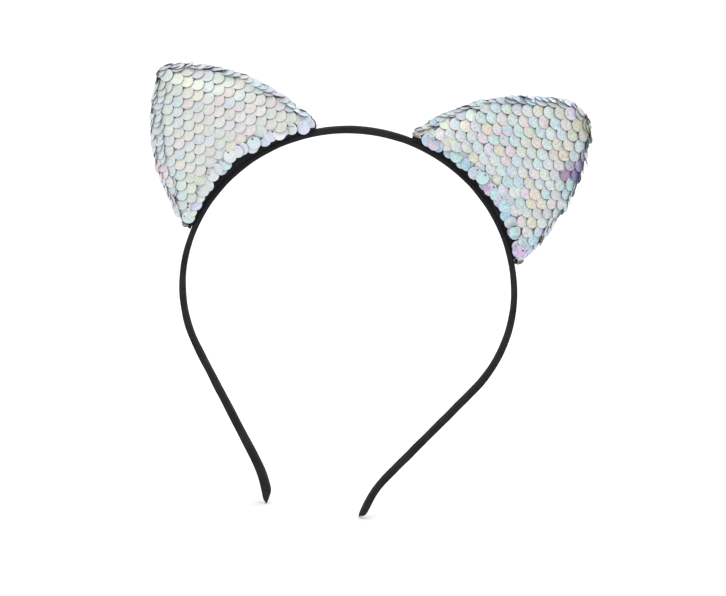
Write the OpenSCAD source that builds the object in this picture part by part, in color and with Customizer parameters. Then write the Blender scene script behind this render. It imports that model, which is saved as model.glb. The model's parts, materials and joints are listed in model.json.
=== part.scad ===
// Headband with two padded sequin cat ears. Millimetres. +Z is up, the front faces -Y, +X is to the
// right. The origin is the centre of the arc that lies on the head. Every place along the band is an
// angle from the top, turning down that side, and the left side is the mirror of the right.

/* [Band] */
// Inside radius of the arc that lies on the head
head_r = 63.5; // [52:0.5:78]
// Inside radius of the side bend, where the arc tightens towards the leg
knee_r = 54; // [40:1:62]
// How far each leg leans in below the side bend, from upright
leg_lean = 35; // [28:0.5:44]
// Gap between the two tips, inside to inside
tip_gap = 35.4; // [20:1:60]
// Radius of the outward curve before each tip
flare_r = 30; // [20:1:50]
// Angle that the outward curve turns through
flare_turn = 18; // [5:1:25]

/* [Strip and ribbon] */
// Thickness of the spring steel strip
core_t = 1.0; // [0.8:0.1:1.5]
// Width of the spring steel strip
core_w = 4.5; // [3.5:0.1:8]
// Thickness of the ribbon wound on the strip
ribbon_t = 0.6; // [0.4:0.1:1]
// Bevel on the strip's long edges
core_bevel = 0.15; // [0.05:0.05:0.3]
// Radius on the ribbon's long edges
ribbon_edge_r = 0.7; // [0.3:0.1:0.9]
// Length of the folded ribbon end on each tip
fold_len = 8; // [6:0.5:12]
// How much each folded end stands out from the ribbon
fold_proud = 0.35; // [0.1:0.05:0.6]
// Length of strip inside each folded end
core_tail = 4; // [2:0.5:5]

/* [Spread of the band] */
// Angle from the top to the bending place at the crown
crown_bend_at = 6; // [4:0.5:8]
// Free arc between the lower ear's end and the bending place below it, as an angle
leg_bend_past_ear = 2.6; // [1.5:0.1:8]
// How much the round end of the strip at a bending place stands out from its faces
bead_proud = 0.05; // [0.02:0.01:0.1]
// Running clearance around that round end
bend_clear = 0.05; // [0.02:0.01:0.1]
// Gap in the ribbon at a bending place
ribbon_gap = 0.8; // [0.6:0.1:1.5]

/* [Ears] */
// Full width of an ear across its base
ear_w = 65; // [50:1:80]
// Height of the left ear above the ribbon
left_ear_h = 48.5; // [40:0.5:62]
// Height of the right ear above the ribbon
right_ear_h = 50; // [40:0.5:62]
// Radius of the left ear's point
left_tip_r = 4.5; // [2:0.5:14]
// Radius of the right ear's point
right_tip_r = 11; // [2:0.5:14]
// How far inside the ribbon's outer face the ear's sides stand upright
ear_drop = 8; // [2:0.5:12]
// Angle from the top to the left ear's inner corner
left_ear_from = 18.5; // [10:0.5:24]
// Angle from the top to the right ear's inner corner
right_ear_from = 12.5; // [10:0.5:24]
// Half the thickness of the padding at the middle of an ear
pad_half = 7.5; // [5:0.5:12]
// Half the thickness of the padding at its sides and point
pad_side = 1.2; // [0.8:0.1:3]
// Half the thickness of the padding at the middle of its base
pad_base = 3.8; // [2:0.1:6]

/* [Ear layers] */
// Thickness of the net that the sequins are sewn to
net_t = 0.5; // [0.3:0.1:1]
// Thickness of the overlapping sequins
sequin_t = 0.8; // [0.5:0.1:1.5]
// Thickness of the hot glue on the ribbon
glue_t = 0.4; // [0.2:0.1:1]
// Thickness of the felt strip under an ear
felt_t = 1.2; // [0.8:0.1:2]
// Width of the felt strip, front to back
felt_w = 9; // [6:0.5:12]
// Diameter of the seam's thread
thread_d = 0.36; // [0.2:0.02:0.4]
// Distance from stitch to stitch along the seam
stitch_pitch = 3.2; // [2:0.1:5]

/* [Hidden] */
$fn = 64;

LEFT = true;
RIGHT = false;
RIBBON = "#232327";
STEEL = "#9a9ca0";
SEQUIN = "#dfe3ea";
NET = "#c9ccd4";
FOAM = "#f2efe6";
FELT = "#1d1d20";
GLUE = "#d8cfae";
THREAD = "#4a4c52";

band_t = core_t + 2 * ribbon_t;
band_w = core_w + 2 * ribbon_t;
band_outer_r = head_r + band_t;

// The ear's layers, each an offset from the padding's own surface
net_out = net_t;
sequin_out = net_t + sequin_t;
ear_seat_r = band_outer_r + glue_t + felt_t;

// Points along each stretch of an ear's outline, and the rings from its middle to its edge
side_steps = 10;
tip_steps = 4;
base_steps = 12;
rings = [0.4, 0.7, 0.89, 1];

// The base is a run of short flats, each of which touches the round felt at its middle
base_flat_r = ear_seat_r / cos(asin(ear_w / 2 / ear_seat_r) / base_steps);
pad_base_r = base_flat_r + sequin_out;
ear_widest_z = band_outer_r - ear_drop;
pad_centre_z = pad_base_r + 16;

// Half the padding's width, the radius of its sides and the centre of its point
pad_w = ear_w / 2 - sequin_out;
function tip_z(left) = band_outer_r + (left ? left_ear_h : right_ear_h) - tip_r(left);
function tip_r(left) = (left ? left_tip_r : right_tip_r);
function pad_tip_r(left) = max(0.6, tip_r(left) - sequin_out);
function side_r(left) = let(rise = tip_z(left) - ear_widest_z, r = pad_tip_r(left))
    (pad_w * pad_w + rise * rise - r * r) / (2 * (pad_w - r));
function side_centre(left) = [pad_w - side_r(left), ear_widest_z];

// Where two circles meet, on the right: one about the origin, the other about c
function meeting(r, c, rc) = let(
    d = norm(c),
    along = (r * r - rc * rc + d * d) / (2 * d),
    across = sqrt(r * r - along * along),
    dir = c / d)
    along * dir + across * (c.x < 0 ? [dir.y, -dir.x] : [-dir.y, dir.x]);
function corner(left, out) = let(
    hit = meeting(pad_base_r - out, side_centre(left), side_r(left) + out))
    [abs(hit.x), hit.y];
function angle_of(v) = atan2(v.y, v.x);
function spot(c, r, a) = c + r * [cos(a), sin(a)];
function flip(p) = [-p.x, p.y];

// One side of an ear from the corner to the point, as points at equal angles
function side_points(left, out, steps) = let(
    c = side_centre(left),
    from = angle_of(corner(left, out) - c),
    to = angle_of([0, tip_z(left)] - c))
    [for (i = [0 : steps - 1]) spot(c, side_r(left) + out, from + (to - from) * i / steps)];
function tip_points(left, out) = let(
    from = angle_of([0, tip_z(left)] - side_centre(left)),
    turn = 180 - 2 * from)
    [for (i = [0 : tip_steps]) spot([0, tip_z(left)], pad_tip_r(left) + out,
                                    from + turn * i / tip_steps)];
function base_points(left, out) = let(from = angle_of(flip(corner(left, out))), turn = 180 - 2 * from)
    [for (i = [0 : base_steps - 1]) spot([0, 0], pad_base_r - out, from + turn * i / base_steps)];

// The whole outline, right side up, over the point, left side down and back along the base
function outline(left, out) = let(side = side_points(left, out, side_steps))
    concat(side, tip_points(left, out),
           [for (i = [side_steps - 1 : -1 : 1]) flip(side[i])],
           base_points(left, out));
outline_n = 2 * side_steps + tip_steps + base_steps;
base_from = outline_n - base_steps;

// Half thickness at the edge, which swells along the base, and at a ring inside it
function edge_half(i) = pad_side
    + (i < base_from ? 0 : (pad_base - pad_side) * sin(180 * (i - base_from) / base_steps));
function dome_half(i, ring) = edge_half(i) + (pad_half - edge_half(i)) * pow(1 - pow(ring, 2.4), 0.7);

// Half of an ear's surface on one side of its seam: the middle, the rings and the seam line.
// face is -1 for the front and 1 for the back.
function face_points(left, out, face) = let(edge = outline(left, out), c = [0, pad_centre_z])
    concat(
        [[c.x, face * (pad_half + out), c.y]],
        [for (ring = rings, i = [0 : outline_n - 1])
            let(p = c + ring * (edge[i] - c)) [p.x, face * (dome_half(i, ring) + out), p.y]],
        [for (p = edge) [p.x, 0, p.y]]);
face_n = 1 + outline_n * (len(rings) + 1);
function next(i) = (i + 1) % outline_n;

// Faces over one such half. turned is true for the side that faces the other way.
function half_faces(first, turned) = [
    for (i = [0 : outline_n - 1])
        let(f = [first, first + 1 + i, first + 1 + next(i)]) turned ? [f[2], f[1], f[0]] : f,
    for (k = [0 : len(rings) - 1], i = [0 : outline_n - 1])
        let(a = first + 1 + k * outline_n, b = a + outline_n,
            q = [a + i, b + i, b + next(i), a + next(i)])
        each (turned ? [[q[2], q[1], q[0]], [q[3], q[2], q[0]]]
                     : [[q[0], q[1], q[2]], [q[0], q[2], q[3]]])
];

// Padding: both halves, joined along the seam line
module pad_solid(left) {
    front = face_points(left, 0, -1);
    back = face_points(left, 0, 1);
    seam = face_n - outline_n;
    back_only = [for (i = [0 : seam - 1]) back[i]];
    joined = [for (f = half_faces(face_n, true)) [for (v = f) v - face_n >= seam ? v - face_n : v]];
    polyhedron(concat(front, back_only), concat(half_faces(0, false), joined), convexity = 4);
}

// A layer between two offsets on one face, closed along the seam plane
module layer_solid(left, inner, outer, face) {
    seam = face_n - outline_n;
    band = [for (i = [0 : outline_n - 1])
        let(q = [seam + i, seam + next(i), face_n + seam + next(i), face_n + seam + i])
        each (face > 0 ? [[q[0], q[1], q[2]], [q[0], q[2], q[3]]]
                       : [[q[2], q[1], q[0]], [q[3], q[2], q[0]]])];
    polyhedron(
        concat(face_points(left, inner, face), face_points(left, outer, face)),
        concat(half_faces(0, face < 0), half_faces(face_n, face > 0), band),
        convexity = 6);
}

// Half the angle that an ear takes on the band, and the places that follow from it
function ear_half(left) = let(c = corner(left, sequin_out)) 90 - angle_of(c);
function ear_at(left) = (left ? left_ear_from : right_ear_from) + ear_half(left);
leg_bend_at = max(left_ear_from + 2 * ear_half(LEFT), right_ear_from + 2 * ear_half(RIGHT))
    + leg_bend_past_ear;
function outward(a) = [sin(a), cos(a)];
function pivot(a) = (head_r + band_t / 2) * outward(a);
gap_angle = ribbon_gap / 2 / (head_r + band_t / 2) * 180 / PI;

// The leg: a side bend about its own centre, a straight run and an outward curve before the tip
knee_centre = (head_r - knee_r) * outward(leg_bend_at);
leg_from = 90 + leg_lean;
leg_start = knee_centre + knee_r * outward(leg_from);
flare_in_r = flare_r + band_t;
tip_from = leg_from - flare_turn;
flare_dx = flare_in_r * (sin(tip_from) - sin(leg_from));
fold_dx = -fold_len * cos(tip_from);
leg_len = (leg_start.x - flare_dx - fold_dx - tip_gap / 2) / sin(leg_lean);
leg_end = leg_start + leg_len * [cos(leg_from), -sin(leg_from)];
flare_centre = leg_end + flare_in_r * outward(leg_from);
tip_start = flare_centre - flare_in_r * outward(tip_from);
knee_steps = 12;
straight_steps = 4;
flare_steps = 6;

// Each place along a leg is the inside of the band there and the angle of its outward direction
leg_places = concat(
    [for (i = [0 : knee_steps - 1])
        let(a = leg_bend_at + (leg_from - leg_bend_at) * i / knee_steps)
        [knee_centre + knee_r * outward(a), a]],
    [for (i = [0 : straight_steps - 1])
        [leg_start + (leg_end - leg_start) * i / straight_steps, leg_from]],
    [for (i = [0 : flare_steps]) let(a = leg_from - flare_turn * i / flare_steps)
        [flare_centre - flare_in_r * outward(a), a]]);

// The same places with a share of the first step left out at the start
function leg_path(skip) = concat(
    [leg_places[0] + skip * (leg_places[1] - leg_places[0])],
    [for (i = [1 : len(leg_places) - 1]) leg_places[i]]);
gap_share = gap_angle * knee_steps / (leg_from - leg_bend_at);

module on_side(left) {
    if (left) mirror([1, 0, 0]) children();
    else children();
}

// A section swept round the origin from one angle to another. Its x is the distance out from the
// inside of the band and its y is the width.
module arc_run(from, to) {
    rotate([90, 0, 0]) rotate([0, 0, 90 - to])
        rotate_extrude(angle = to - from, $fn = 180) translate([head_r, 0]) children();
}

// An outline carried along a list of places, as the points and walls of a closed run. out is true
// for a run that faces outwards and false for the inside of a tube.
function run_points(path, section) = [
    for (at = path, q = section) let(p = at[0] + q.x * outward(at[1])) [p.x, q.y, p.y]];
function run_walls(first, n, count, out) = [
    for (k = [0 : count - 2], i = [0 : n - 1])
        let(a = first + k * n, q = [a + i, a + (i + 1) % n, a + n + (i + 1) % n, a + n + i])
        each (out ? [[q[0], q[1], q[2]], [q[0], q[2], q[3]]]
                  : [[q[2], q[1], q[0]], [q[3], q[2], q[0]]])];

module path_bar(path, section) {
    n = len(section);
    last = (len(path) - 1) * n;
    ends = [[for (i = [n - 1 : -1 : 0]) i], [for (i = [0 : n - 1]) last + i]];
    polyhedron(run_points(path, section), concat(run_walls(0, n, len(path), true), ends),
               convexity = 6);
}

module path_tube(path, section, bore) {
    n = len(section);
    last = (len(path) - 1) * n;
    inside = len(path) * n;
    rims = [for (i = [0 : n - 1]) let(j = (i + 1) % n)
        each [[i, inside + i, inside + j], [i, inside + j, j],
              [last + i, last + j, inside + last + j],
              [last + i, inside + last + j, inside + last + i]]];
    polyhedron(
        concat(run_points(path, section), run_points(path, bore)),
        concat(run_walls(0, n, len(path), true), run_walls(inside, n, len(path), false), rims),
        convexity = 8);
}

module at_tip() {
    translate([tip_start.x, 0, tip_start.y]) rotate([0, tip_from - 90, 0]) children();
}

// Outlines across the band: the strip with its bevelled edges, and the ribbon around it
function bevelled(x, t, w, bevel) = [
    [x + bevel, -w / 2], [x + t - bevel, -w / 2], [x + t, bevel - w / 2], [x + t, w / 2 - bevel],
    [x + t - bevel, w / 2], [x + bevel, w / 2], [x, w / 2 - bevel], [x, bevel - w / 2]];
core_outline = bevelled(ribbon_t, core_t, core_w, core_bevel);
ribbon_outline = bevelled(0, band_t, band_w, 0.6 * ribbon_edge_r);

module core_section() { polygon(core_outline); }

module round_section(t, w, r) {
    translate([r, -w / 2]) square([t - 2 * r, w]);
    translate([0, r - w / 2]) square([t, w - 2 * r]);
    for (x = [r, t - r], y = [r - w / 2, w / 2 - r]) translate([x, y]) circle(r, $fn = 32);
}

module ribbon_section() {
    difference() {
        round_section(band_t, band_w, ribbon_edge_r);
        core_section();
    }
}

module felt_section() {
    translate([band_t + glue_t, -felt_w / 2]) square([felt_t, felt_w]);
}

module glue_section() {
    translate([band_t, ribbon_edge_r - band_w / 2]) square([glue_t, band_w - 2 * ribbon_edge_r]);
}

// The strip's round end at a bending place, or the hollow that it turns in
module bend_round(a, clear) {
    p = pivot(a);
    translate([p.x, 0, p.y]) rotate([90, 0, 0])
        cylinder(r = core_t / 2 + bead_proud + clear, h = core_w + 2 * clear, center = true, $fn = 48);
}

module crown_core() {
    color(STEEL) {
        arc_run(-crown_bend_at, crown_bend_at) core_section();
        for (left = [LEFT, RIGHT]) on_side(left) bend_round(crown_bend_at, 0);
    }
}

module crown_ribbon() {
    color(RIBBON) arc_run(gap_angle - crown_bend_at, crown_bend_at - gap_angle) ribbon_section();
}

module shoulder_core(left) {
    color(STEEL) on_side(left) {
        difference() {
            arc_run(crown_bend_at, leg_bend_at) core_section();
            bend_round(crown_bend_at, bend_clear);
        }
        bend_round(leg_bend_at, 0);
    }
}

module shoulder_ribbon(left) {
    color(RIBBON) on_side(left) arc_run(crown_bend_at + gap_angle, leg_bend_at - gap_angle)
        ribbon_section();
}

// The strip in a leg runs on past the ribbon, into the folded end
function tail(path, length) = let(at = path[len(path) - 1])
    [[at[0] + length * [cos(at[1]), -sin(at[1])], at[1]]];

module leg_core(left) {
    path = leg_path(0);
    color(STEEL) on_side(left) difference() {
        path_bar(concat(path, tail(path, core_tail)), core_outline);
        bend_round(leg_bend_at, bend_clear);
    }
}

module leg_ribbon(left) {
    color(RIBBON) on_side(left) path_tube(leg_path(gap_share), ribbon_outline, core_outline);
}

// The ribbon's end folded over the strip's end: a block with a round nose and a slot for the strip
module end_fold(left) {
    nose_r = band_t / 2 + fold_proud;
    color(RIBBON) on_side(left) at_tip() difference() {
        translate([band_t / 2, band_w / 2, 0]) rotate([90, 0, 0]) linear_extrude(band_w) {
            translate([-nose_r, nose_r - fold_len]) square([2 * nose_r, fold_len - nose_r]);
            translate([0, nose_r - fold_len]) circle(nose_r, $fn = 48);
        }
        translate([0, 0, -core_tail]) linear_extrude(core_tail + 1) core_section();
    }
}

module on_ear(left) {
    on_side(left) rotate([0, ear_at(left), 0]) children();
}

module ear_run(left) {
    on_side(left) arc_run(ear_at(left) - ear_half(left) + 1, ear_at(left) + ear_half(left) - 1)
        children();
}

module ear_glue(left) { color(GLUE) ear_run(left) glue_section(); }

module ear_felt(left) { color(FELT) ear_run(left) felt_section(); }

module ear_padding(left) { color(FOAM) on_ear(left) pad_solid(left); }

module ear_net(left, face) { color(NET) on_ear(left) layer_solid(left, 0, net_out, face); }

module ear_sequins(left, face) {
    color(SEQUIN) on_ear(left) layer_solid(left, net_out, sequin_out, face);
}

// Stitches that hold the two nets together, one by one up both sides of the ear
module ear_seam_thread(left) {
    arc_len = side_r(left) * PI / 180
        * abs(angle_of([0, tip_z(left)] - side_centre(left))
              - angle_of(corner(left, 0) - side_centre(left)));
    steps = floor(arc_len / stitch_pitch);
    points = side_points(left, net_t / 2, steps);
    color(THREAD) on_ear(left) for (i = [1 : steps - 1], p = [points[i], flip(points[i])])
        translate([p.x, 0, p.y]) rotate([90, 0, 0])
            cylinder(d = thread_d, h = 1.6 * pad_side, center = true, $fn = 16);
}

crown_core();
crown_ribbon();

shoulder_core(LEFT);  // left_shoulder_core
shoulder_ribbon(LEFT);  // left_shoulder_ribbon
leg_core(LEFT);  // left_leg_core
leg_ribbon(LEFT);  // left_leg_ribbon
end_fold(LEFT);  // left_end_fold
ear_glue(LEFT);  // left_ear_glue
ear_felt(LEFT);  // left_ear_felt
ear_padding(LEFT);  // left_ear_padding
ear_net(LEFT, -1);  // left_ear_front_net
ear_net(LEFT, 1);  // left_ear_back_net
ear_sequins(LEFT, -1);  // left_ear_front_sequins
ear_sequins(LEFT, 1);  // left_ear_back_sequins
ear_seam_thread(LEFT);  // left_ear_seam_thread

shoulder_core(RIGHT);  // right_shoulder_core
shoulder_ribbon(RIGHT);  // right_shoulder_ribbon
leg_core(RIGHT);  // right_leg_core
leg_ribbon(RIGHT);  // right_leg_ribbon
end_fold(RIGHT);  // right_end_fold
ear_glue(RIGHT);  // right_ear_glue
ear_felt(RIGHT);  // right_ear_felt
ear_padding(RIGHT);  // right_ear_padding
ear_net(RIGHT, -1);  // right_ear_front_net
ear_net(RIGHT, 1);  // right_ear_back_net
ear_sequins(RIGHT, -1);  // right_ear_front_sequins
ear_sequins(RIGHT, 1);  // right_ear_back_sequins
ear_seam_thread(RIGHT);  // right_ear_seam_thread
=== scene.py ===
"""Headband with two padded sequin cat ears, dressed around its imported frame.

Lengths in the classes are millimetres and become metres when a mesh is made. +Z is up, the front of
the ears faces -Y, and every place along the band is its length from the top, down one side.
"""

import json
import logging
import math
from dataclasses import dataclass, field
from enum import Enum

import bpy
import numpy as np
from mathutils import Matrix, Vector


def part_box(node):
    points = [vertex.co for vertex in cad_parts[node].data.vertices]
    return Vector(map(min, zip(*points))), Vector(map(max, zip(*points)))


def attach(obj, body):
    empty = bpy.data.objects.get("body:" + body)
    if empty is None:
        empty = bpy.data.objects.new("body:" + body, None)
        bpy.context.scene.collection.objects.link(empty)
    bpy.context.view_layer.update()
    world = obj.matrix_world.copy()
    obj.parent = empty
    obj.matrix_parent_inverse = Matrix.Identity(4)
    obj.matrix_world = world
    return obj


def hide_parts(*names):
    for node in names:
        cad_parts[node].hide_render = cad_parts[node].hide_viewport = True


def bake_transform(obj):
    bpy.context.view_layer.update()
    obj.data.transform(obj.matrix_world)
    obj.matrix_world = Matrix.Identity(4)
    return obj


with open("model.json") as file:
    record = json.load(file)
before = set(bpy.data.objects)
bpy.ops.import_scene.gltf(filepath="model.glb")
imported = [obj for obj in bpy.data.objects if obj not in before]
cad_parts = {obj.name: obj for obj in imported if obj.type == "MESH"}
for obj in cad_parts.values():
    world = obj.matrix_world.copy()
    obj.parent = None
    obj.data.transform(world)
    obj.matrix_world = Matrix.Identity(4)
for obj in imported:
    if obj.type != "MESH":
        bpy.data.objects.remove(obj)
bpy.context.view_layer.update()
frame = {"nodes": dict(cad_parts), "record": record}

Array = np.ndarray
MM = 0.001
SHARP_DEG = 40.0
BEND_HALF = 3.0
COLUMN_MM = 1.7
log = logging.getLogger("headband")


# ---------------------------------------------------------------- small tools


class Side(Enum):
    """The side of the band that a piece belongs to, as seen from the front."""

    LEFT = "left"
    RIGHT = "right"

    @property
    def sign(self) -> float:
        """The sign of X on this side."""
        return -1.0 if self is Side.LEFT else 1.0


class Face(Enum):
    """The face of an ear."""

    FRONT = "front"
    BACK = "back"


def linear(colour: str) -> tuple[float, float, float, float]:
    """Turns an sRGB hex colour into linear RGBA.

    Args:
        colour: Six hex digits after a hash sign.

    Returns:
        Red, green, blue and an alpha of one.
    """
    value = np.array([int(colour[i : i + 2], 16) for i in (1, 3, 5)]) / 255
    flat = np.where(value <= 0.04045, value / 12.92, ((value + 0.055) / 1.055) ** 2.4)
    return (*flat.tolist(), 1.0)


def smooth(x: Array) -> Array:
    """Eases from 0 to 1 as x goes from 0 to 1: three x squared less two x cubed."""
    x = np.clip(x, 0.0, 1.0)
    return x * x * (3 - 2 * x)


def unit(v: Array) -> Array:
    """Scales each row to a length of one."""
    return v / np.maximum(np.linalg.norm(v, axis=-1, keepdims=True), 1e-12)


def ripple(at: Array, wave: float, seed: int) -> Array:
    """A gentle random wave between about -1 and 1.

    It is a sum of sines with seeded lengths from half of the wave to twice it and seeded starts.

    Args:
        at: Places along a line, in the same unit as wave.
        wave: Typical length of one wave.
        seed: Seed of the random lengths and starts.

    Returns:
        The height at each place.
    """
    terms, rng = 6, np.random.default_rng(seed)
    lengths = wave * 2 ** rng.uniform(-1, 1, terms)
    starts = rng.uniform(0, 2 * np.pi, terms)
    waves = np.sin(2 * np.pi * np.asarray(at)[..., None] / lengths + starts)
    return waves.sum(axis=-1) / np.sqrt(terms)


def grid_quads(rows: int, cols: int, wrap: bool = True) -> Array:
    """Faces of a grid whose point (i, j) has the number i * cols + j.

    Args:
        rows: Number of rows.
        cols: Number of points in a row.
        wrap: Whether the last point of a row joins its first.

    Returns:
        One row of four point numbers for each face.
    """
    j = np.arange(cols if wrap else cols - 1)
    k = (j + 1) % cols
    i = np.arange(rows - 1)[:, None] * cols
    return np.stack([i + j, i + k, i + cols + k, i + cols + j], axis=-1).reshape(-1, 4)


@dataclass
class Skin:
    """Points and faces of one piece, in millimetres, before it becomes a mesh.

    Attributes:
        points: One row of X, Y and Z for each point.
        faces: Arrays of faces, each with one row of point numbers for each face.
        uv: Optional place on the cloth for each point, in millimetres.
        values: Optional named colour for each point.
    """

    points: Array
    faces: list[Array]
    uv: Array | None = None
    values: dict[str, Array] = field(default_factory=dict)

    def turned(self) -> "Skin":
        """The same piece with every face turned over."""
        return Skin(self.points, [f[:, ::-1] for f in self.faces], self.uv, self.values)

    def piece(self, name: str, finish: bpy.types.Material) -> bpy.types.Object:
        """Makes the mesh object, whose edges stay sharp where they turn by more than SHARP_DEG.

        Args:
            name: Name of the piece.
            finish: Its material.

        Returns:
            The new object, at the origin.
        """
        mesh = bpy.data.meshes.new(name)
        mesh.from_pydata((self.points * MM).tolist(), [], [f for a in self.faces for f in a.tolist()])
        corners = np.zeros(len(mesh.loops), np.int32)
        mesh.loops.foreach_get("vertex_index", corners)
        if self.uv is not None:
            layer = mesh.uv_layers.new(name="Cloth")
            layer.data.foreach_set("uv", (self.uv[corners] * MM).astype(np.float32).ravel())
        for key, colours in self.values.items():
            layer = mesh.attributes.new(key, "FLOAT_COLOR", "POINT")
            layer.data.foreach_set("color", colours.astype(np.float32).ravel())
        mesh.polygons.foreach_set("use_smooth", np.ones(len(mesh.polygons), bool))
        mesh.materials.append(finish)
        mesh.validate()
        mesh.set_sharp_from_angle(angle=math.radians(SHARP_DEG))
        obj = bpy.data.objects.new(name, mesh)
        bpy.context.scene.collection.objects.link(obj)
        return obj


def closed_tube(grid: Array, uv: Array | None = None) -> Skin:
    """A tube over rows of rings, with both ends closed.

    Args:
        grid: rows of rings.
        uv: the cloth's own coordinates for each point, if any.

    Returns:
        The closed skin.
    """
    rows, cols = grid.shape[:2]
    ring = np.arange(cols)
    caps = [ring[::-1][None], ((rows - 1) * cols + ring)[None]]
    return Skin(grid.reshape(-1, 3), [grid_quads(rows, cols)] + caps, uv)


def joined(skins: list[Skin]) -> Skin:
    """Puts several skins into one.

    Args:
        skins: Skins that all have, or all lack, the same named values.

    Returns:
        One skin with the faces renumbered.
    """
    starts = np.cumsum([0] + [len(s.points) for s in skins])
    faces = [f + start for s, start in zip(skins, starts) for f in s.faces]
    uv = None if skins[0].uv is None else np.concatenate([s.uv for s in skins])
    values = {key: np.concatenate([s.values[key] for s in skins]) for key in skins[0].values}
    return Skin(np.concatenate([s.points for s in skins]), faces, uv, values)


# ---------------------------------------------------------------- finishes

Tree = bpy.types.NodeTree
Socket = bpy.types.NodeSocket


def fill_inputs(tree: Tree, node: bpy.types.Node, inputs: dict) -> None:
    """Fills a node's inputs by name or number, each with a plain value or the socket that feeds it."""
    for key, value in inputs.items():
        if isinstance(value, Socket):
            tree.links.new(value, node.inputs[key])
        else:
            node.inputs[key].default_value = value


def add_node(tree: Tree, kind: str, inputs: dict | None = None, **settings) -> bpy.types.Node:
    """Adds one node of a kind with its inputs and its own settings.

    Args:
        tree: node tree that gets it.
        kind: Blender's name for the node.
        inputs: values or sockets by input name.
        **settings: the node's own settings.

    Returns:
        The new node.
    """
    node = tree.nodes.new(kind)
    for name, value in settings.items():
        setattr(node, name, value)
    fill_inputs(tree, node, inputs or {})
    return node


def add_ramp(tree: Tree, fac: Socket, stops: list[tuple[float, str]]) -> Socket:
    """Adds a colour ramp over places from 0 to 1 with their sRGB hex colours.

    Args:
        tree: node tree that gets it.
        fac: socket that is looked up.
        stops: places with their sRGB hex colours.

    Returns:
        The ramp's colour socket.
    """
    node = add_node(tree, "ShaderNodeValToRGB", {"Fac": fac})
    ramp = node.color_ramp
    while len(ramp.elements) < len(stops):
        ramp.elements.new(0.5)
    for element, (at, colour) in zip(ramp.elements, stops):
        element.position = at
        element.color = linear(colour)
    return node.outputs["Color"]


def add_noise(tree: Tree, place: Socket, scale: float, detail: float, distortion: float = 0.0) -> Socket:
    """Adds noise of a scale in cells per metre."""
    return add_node(tree, "ShaderNodeTexNoise", {"Vector": place, "Scale": scale, "Detail": detail,
                                                 "Distortion": distortion}).outputs["Fac"]


def add_math(tree: Tree, way: str, first: Socket, second: Socket | float) -> Socket:
    """Adds or multiplies two numbers."""
    return add_node(tree, "ShaderNodeMath", {0: first, 1: second}, operation=way).outputs[0]


def add_range(tree: Tree, value: Socket, low: float, high: float) -> Socket:
    """Spreads a number from 0 to 1 between two others."""
    return add_node(tree, "ShaderNodeMapRange", {"Value": value, "To Min": low, "To Max": high}).outputs[0]


def add_bump(tree: Tree, height: Socket, strength: float, metres: float) -> Socket:
    """Turns a height into a bump of so many metres."""
    return add_node(tree, "ShaderNodeBump",
                    {"Height": height, "Strength": strength, "Distance": metres}).outputs["Normal"]


def object_place(tree: Tree) -> Socket:
    """The place in the object, in metres."""
    return add_node(tree, "ShaderNodeTexCoord").outputs["Object"]


def cloth_place(tree: Tree) -> Socket:
    """The place on the cloth, in metres."""
    return add_node(tree, "ShaderNodeUVMap", uv_map="Cloth").outputs["UV"]


@dataclass(frozen=True)
class Finish:
    """A surface finish. Each kind has its own look."""

    name: str = "finish"

    def look(self, tree: Tree) -> dict:
        """Adds the finish's nodes and returns what goes into each input of the shader."""
        return {}

    def make(self) -> bpy.types.Material:
        """Makes the material, or returns the one that is made already.

        Returns:
            The material.
        """
        found = bpy.data.materials.get(self.name)
        if found:
            return found
        material = bpy.data.materials.new(self.name)
        material.use_nodes = True
        tree = material.node_tree
        fill_inputs(tree, tree.nodes["Principled BSDF"], self.look(tree))
        return material


@dataclass(frozen=True)
class WovenRibbon(Finish):
    """Black polyester ribbon, woven plain and folded tight round a strip.

    The threads run along and across the band, 0.22 mm apart on the real one and drawn at 0.42 mm so
    that the rib shows. The eye sees a soft black with a faint rib and no clear highlight.
    """

    name: str = "black_woven_ribbon"
    thread_mm: float = 0.42
    light: str = "#333335"
    dark: str = "#1c1c1f"

    def look(self, tree: Tree) -> dict:
        """Two waves at right angles on the cloth's own UV give the weave its height and colour.

        Args:
            tree: node tree to fill.

        Returns:
            Inputs of the main shader.
        """
        cloth = cloth_place(tree)
        per_metre = 2 * math.pi * 1000 / (20 * self.thread_mm)
        waves = [
            add_node(tree, "ShaderNodeTexWave", {"Vector": cloth, "Scale": per_metre, "Distortion": 0.5,
                                                 "Detail": 1.0, "Detail Scale": 3.0},
                     bands_direction=way, wave_profile="SIN").outputs["Fac"]
            for way in ("X", "Y")
        ]
        wear = add_noise(tree, cloth, 120.0, 3.0)
        height = add_math(tree, "ADD", add_math(tree, "MULTIPLY", *waves), add_noise(tree, cloth, 900.0, 4.0))
        mixed = add_math(tree, "MULTIPLY", height, wear)
        return {"Base Color": add_ramp(tree, mixed, [(0.15, self.dark), (0.75, self.light)]),
                "Roughness": add_range(tree, wear, 0.8, 0.95),
                "Normal": add_bump(tree, height, 0.5, 0.00012), "Specular IOR Level": 0.05}


@dataclass(frozen=True)
class SpringSteel(Finish):
    """Cold-rolled spring steel strip: fine rolling lines along the strip, under a dull grey."""

    name: str = "rolled_spring_steel"

    def look(self, tree: Tree) -> dict:
        """Noise that is squeezed across the strip's width gives the rolling lines.

        Args:
            tree: node tree to fill.

        Returns:
            Inputs of the main shader.
        """
        fine = add_node(tree, "ShaderNodeMapping", {"Vector": object_place(tree), "Scale": (300, 5000, 300)})
        lines = add_noise(tree, fine.outputs[0], 1.0, 4.0)
        return {"Base Color": add_ramp(tree, lines, [(0.3, "#8c8f93"), (0.7, "#a9acb0")]),
                "Roughness": add_range(tree, lines, 0.28, 0.45),
                "Normal": add_bump(tree, lines, 0.2, 0.00002), "Metallic": 1.0}


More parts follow.
